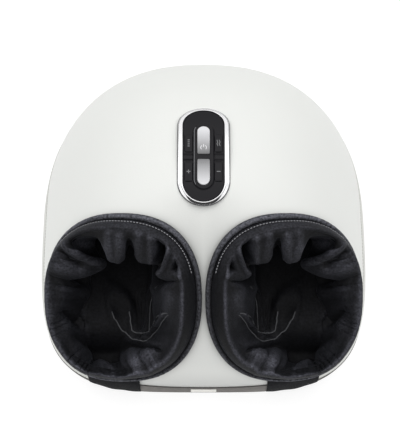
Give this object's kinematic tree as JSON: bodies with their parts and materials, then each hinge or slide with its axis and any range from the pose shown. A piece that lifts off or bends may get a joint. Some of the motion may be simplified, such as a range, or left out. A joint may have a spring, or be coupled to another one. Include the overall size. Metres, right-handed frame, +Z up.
{
  "type": "shiatsu foot massager",
  "caption": "Domed foot massager with two cloth-lined foot mouths, geared kneading heads, airbags, heater films and a bent key panel on top.",
  "frame": {"origin": "on the floor, under the middle of the object's box", "axes": "+X to the wearer's right, +Y from the wearer towards the closed back, +Z up"},
  "size_m": [0.4, 0.4179, 0.2287],
  "materials": {
    "off_white_skin": "satin",
    "band_plastic": "matte",
    "black_cloth": "matte",
    "mesh_cloth": "matte",
    "chrome": "polished",
    "silver_key": "satin metallic",
    "gloss_black": "gloss",
    "dark_plastic": "matte",
    "gear_plastic": "satin",
    "head_plastic": "satin",
    "steel": "satin",
    "rubber": "matte",
    "board_green": "satin",
    "bladder": "matte",
    "heater_film": "satin"
  },
  "bodies": {
    "housing": {"top_cover": "off_white_skin", "base_shell": "band_plastic", "left_foot_sleeve": "black_cloth", "right_foot_sleeve": "black_cloth", "left_cuff_roll": "black_cloth", "right_cuff_roll": "black_cloth", "left_cuff_flap": "black_cloth", "right_cuff_flap": "black_cloth", "left_cuff_band": "mesh_cloth", "right_cuff_band": "mesh_cloth", "bezel_ring": "chrome", "panel_face": "gloss_black", "panel_cup": "dark_plastic", "gear_deck": "dark_plastic", "left_foot_tray": "dark_plastic", "right_foot_tray": "dark_plastic", "left_chamber_shell": "dark_plastic", "right_chamber_shell": "dark_plastic", "gearbox_housing": "dark_plastic", "air_pump": "dark_plastic", "power_inlet": "dark_plastic", "motor_can": "steel", "left_front_screw": "steel", "right_front_screw": "steel", "left_back_screw": "steel", "right_back_screw": "steel", "left_front_foot": "rubber", "right_front_foot": "rubber", "left_back_foot": "rubber", "right_back_foot": "rubber", "left_air_hose": "rubber", "right_air_hose": "rubber", "panel_cable": "rubber", "driver_board": "board_green", "control_board": "board_green", "left_airbag": "bladder", "right_airbag": "bladder", "left_heater_film": "heater_film", "right_heater_film": "heater_film"},
    "left_heel_kneader": {"left_heel_gear": "gear_plastic", "left_heel_head": "head_plastic"},
    "left_arch_kneader": {"left_arch_gear": "gear_plastic", "left_arch_head": "head_plastic"},
    "left_toe_kneader": {"left_toe_gear": "gear_plastic", "left_toe_head": "head_plastic"},
    "left_idler": {"left_idler_gear": "gear_plastic"},
    "right_heel_kneader": {"right_heel_gear": "gear_plastic", "right_heel_head": "head_plastic"},
    "right_arch_kneader": {"right_arch_gear": "gear_plastic", "right_arch_head": "head_plastic"},
    "right_toe_kneader": {"right_toe_gear": "gear_plastic", "right_toe_head": "head_plastic"},
    "right_idler": {"right_idler_gear": "gear_plastic"},
    "pinion": {"drive_pinion": "gear_plastic"},
    "power_button": {"power_key": "silver_key"},
    "timer_button": {"timer_key": "silver_key"},
    "mode_button": {"mode_key": "gloss_black"},
    "heat_button": {"heat_key": "gloss_black"},
    "high_button": {"high_key": "gloss_black"},
    "low_button": {"low_key": "gloss_black"}
  },
  "joints": [
    {"name": "left_heel_spin", "type": "hinge", "parent": "housing", "child": "left_heel_kneader", "pos_m": [-0.099, -0.0735, 0.04054], "axis": [0, -0.1736, 0.9848], "continuous": true},
    {"name": "left_arch_spin", "type": "hinge", "parent": "housing", "child": "left_arch_kneader", "pos_m": [-0.099, -0.0085, 0.052], "axis": [0, -0.1736, 0.9848], "continuous": true},
    {"name": "left_toe_spin", "type": "hinge", "parent": "housing", "child": "left_toe_kneader", "pos_m": [-0.099, 0.0565, 0.06346], "axis": [0, -0.1736, 0.9848], "continuous": true},
    {"name": "left_idler_spin", "type": "hinge", "parent": "housing", "child": "left_idler", "pos_m": [-0.0405, -0.0085, 0.052], "axis": [0, -0.1736, 0.9848], "continuous": true},
    {"name": "right_heel_spin", "type": "hinge", "parent": "housing", "child": "right_heel_kneader", "pos_m": [0.099, -0.0735, 0.04054], "axis": [0, -0.1736, 0.9848], "continuous": true},
    {"name": "right_arch_spin", "type": "hinge", "parent": "housing", "child": "right_arch_kneader", "pos_m": [0.099, -0.0085, 0.052], "axis": [0, -0.1736, 0.9848], "continuous": true},
    {"name": "right_toe_spin", "type": "hinge", "parent": "housing", "child": "right_toe_kneader", "pos_m": [0.099, 0.0565, 0.06346], "axis": [0, -0.1736, 0.9848], "continuous": true},
    {"name": "right_idler_spin", "type": "hinge", "parent": "housing", "child": "right_idler", "pos_m": [0.0405, -0.0085, 0.052], "axis": [0, -0.1736, 0.9848], "continuous": true},
    {"name": "pinion_spin", "type": "hinge", "parent": "housing", "child": "pinion", "pos_m": [0, -0.0085, 0.052], "axis": [0, -0.1736, 0.9848], "continuous": true},
    {"name": "power_press", "type": "slide", "parent": "housing", "child": "power_button", "axis": [0, -0.026, -0.9997], "range_m": [0, 0.0008], "stiffness_N_per_m": 1200, "springref_m": -0.0003},
    {"name": "timer_press", "type": "slide", "parent": "housing", "child": "timer_button", "axis": [0, 0.1815, -0.9834], "range_m": [0, 0.0008], "stiffness_N_per_m": 1200, "springref_m": -0.0003},
    {"name": "mode_press", "type": "slide", "parent": "housing", "child": "mode_button", "axis": [0, -0.0065, -1], "range_m": [0, 0.0008], "stiffness_N_per_m": 1200, "springref_m": -0.0003},
    {"name": "heat_press", "type": "slide", "parent": "housing", "child": "heat_button", "axis": [0, -0.0065, -1], "range_m": [0, 0.0008], "stiffness_N_per_m": 1200, "springref_m": -0.0003},
    {"name": "high_press", "type": "slide", "parent": "housing", "child": "high_button", "axis": [0, 0.1785, -0.9839], "range_m": [0, 0.0008], "stiffness_N_per_m": 1200, "springref_m": -0.0003},
    {"name": "low_press", "type": "slide", "parent": "housing", "child": "low_button", "axis": [0, 0.1785, -0.9839], "range_m": [0, 0.0008], "stiffness_N_per_m": 1200, "springref_m": -0.0003}
  ],
  "couplings": [
    {"joint": "left_heel_spin", "follows": "left_arch_spin", "ratio": -1},
    {"joint": "left_toe_spin", "follows": "left_arch_spin", "ratio": -1},
    {"joint": "left_idler_spin", "follows": "left_arch_spin", "ratio": -1.2941},
    {"joint": "right_heel_spin", "follows": "left_arch_spin", "ratio": -1},
    {"joint": "right_arch_spin", "follows": "left_arch_spin", "ratio": 1},
    {"joint": "right_toe_spin", "follows": "left_arch_spin", "ratio": -1},
    {"joint": "right_idler_spin", "follows": "left_arch_spin", "ratio": -1.2941},
    {"joint": "pinion_spin", "follows": "left_arch_spin", "ratio": 2.2}
  ]
}
